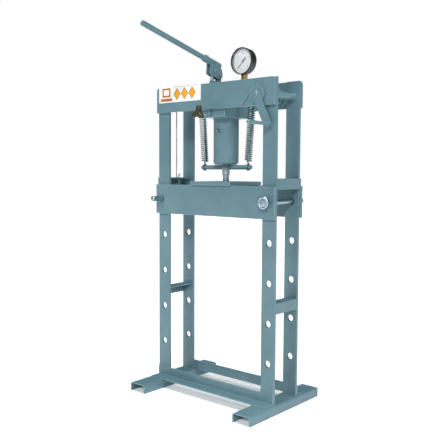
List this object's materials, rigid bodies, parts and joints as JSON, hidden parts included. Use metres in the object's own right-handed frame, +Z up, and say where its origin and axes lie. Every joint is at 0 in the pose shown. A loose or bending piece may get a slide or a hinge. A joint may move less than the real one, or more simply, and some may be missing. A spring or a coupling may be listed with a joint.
{
  "type": "hydraulic shop press",
  "caption": "Hand-pumped hydraulic H-frame shop press: pinned bed with winch, ram with return springs, pump lever, release knob and pressure gauge.",
  "frame": {"origin": "on the floor, straight below the ram's axis", "axes": "+X to the operator's right, -Y towards the operator, +Z up along the ram"},
  "size_m": [0.62, 0.642, 1.4168],
  "materials": {
    "enamel": "semi-gloss enamel",
    "bright_steel": "ground and polished",
    "plated_steel": "zinc plated",
    "spring_steel": "drawn wire, oiled",
    "wire_rope": "galvanised strands",
    "brass": "machined",
    "gauge_black": "satin",
    "dial_white": "satin",
    "glass": "clear",
    "knob_plastic": "moulded",
    "label_film": "printed film"
  },
  "bodies": {
    "frame": {"bed_ends": "enamel", "bed_plate_front": "enamel", "bed_plate_rear": "enamel", "bleed_screw": "plated_steel", "cylinder_gland": "enamel", "cylinder_tube": "enamel", "foot_left": "enamel", "foot_right": "enamel", "fulcrum_lug": "enamel", "gauge_adapter": "brass", "gauge_bezel": "gauge_black", "gauge_case": "gauge_black", "gauge_dial": "dial_white", "gauge_lens": "glass", "head_beam_front": "enamel", "head_beam_rear": "enamel", "head_block": "enamel", "label_plate": "label_film", "lifting_rope": "wire_rope", "pawl_pin": "plated_steel", "post_front_left": "enamel", "post_front_right": "enamel", "post_rear_left": "enamel", "post_rear_right": "enamel", "pump_barrel": "enamel", "return_spring_left": "spring_steel", "return_spring_right": "spring_steel", "rope_clip": "plated_steel", "side_brace_left": "enamel", "side_brace_right": "enamel", "sill_front": "enamel", "sill_rear": "enamel", "spring_hangers": "enamel", "tie_bars": "enamel", "valve_gland": "enamel"},
    "ram": {"ram": "bright_steel", "piston": "bright_steel", "spring_bar": "enamel"},
    "lever": {"lever_cheeks": "enamel", "lever_socket": "enamel", "pump_handle": "enamel", "handle_screw": "plated_steel", "fulcrum_pin": "plated_steel", "crosshead_pin": "plated_steel"},
    "plunger": {"pump_plunger": "bright_steel"},
    "release_valve": {"valve_stem": "bright_steel", "release_knob": "knob_plastic"},
    "needle": {"gauge_needle": "gauge_black"},
    "winch": {"winch_shaft": "plated_steel", "crank_arm": "enamel", "crank_grip": "plated_steel", "ratchet_wheel": "enamel", "rope_drum": "enamel", "rope_winding": "wire_rope"},
    "pawl": {"pawl": "enamel"},
    "sheave": {"rope_sheave": "plated_steel"},
    "plate_left": {"press_plate_left": "enamel"},
    "plate_right": {"press_plate_right": "enamel"},
    "pin_left": {"bed_pin_left": "plated_steel"},
    "pin_right": {"bed_pin_right": "plated_steel"}
  },
  "joints": [
    {"name": "ram_slide", "type": "slide", "parent": "frame", "child": "ram", "axis": [0, 0, -1], "range_m": [0, 0.046], "stiffness_N_per_m": 2500, "springref_m": -0.03, "deforming": ["return_spring_left", "return_spring_right"]},
    {"name": "lever_hinge", "type": "hinge", "parent": "frame", "child": "lever", "pos_m": [-0.022, -0.025, 1.273], "axis": [1, 0, 0], "range_deg": [-25, 12]},
    {"name": "plunger_slide", "type": "slide", "parent": "frame", "child": "plunger", "axis": [0, 0, 1], "range_m": [-0.008, 0.016]},
    {"name": "valve_turn", "type": "hinge", "parent": "frame", "child": "release_valve", "pos_m": [-0.015, -0.12, 1.119], "axis": [0, -1, 0], "range_deg": [0, 270]},
    {"name": "needle_turn", "type": "hinge", "parent": "frame", "child": "needle", "pos_m": [0.048, 0.042, 1.331], "axis": [0, 1, 0], "range_deg": [0, 270], "stiffness_Nm_per_rad": 0.005, "springref_deg": -5.73},
    {"name": "winch_turn", "type": "hinge", "parent": "frame", "child": "winch", "pos_m": [0.222, 0, 1.178], "axis": [0, 1, 0], "continuous": true},
    {"name": "sheave_turn", "type": "hinge", "parent": "frame", "child": "sheave", "pos_m": [-0.25, 0, 1.178], "axis": [0, 1, 0], "continuous": true},
    {"name": "pawl_turn", "type": "hinge", "parent": "frame", "child": "pawl", "pos_m": [0.152, -0.093, 1.149], "axis": [0, -1, 0], "range_deg": [-6.8, 28]},
    {"name": "plate_left_slide", "type": "slide", "parent": "frame", "child": "plate_left", "axis": [-1, 0, 0], "range_m": [0, 0.135]},
    {"name": "plate_right_slide", "type": "slide", "parent": "frame", "child": "plate_right", "axis": [1, 0, 0], "range_m": [0, 0.135]},
    {"name": "pin_left_slide", "type": "slide", "parent": "frame", "child": "pin_left", "axis": [0, 1, 0], "range_m": [0, 0.24]},
    {"name": "pin_right_slide", "type": "slide", "parent": "frame", "child": "pin_right", "axis": [0, -1, 0], "range_m": [0, 0.24]}
  ],
  "couplings": [
    {"joint": "plunger_slide", "follows": "lever_hinge", "m_per_rad": -0.036},
    {"joint": "sheave_turn", "follows": "winch_turn", "ratio": 1}
  ]
}
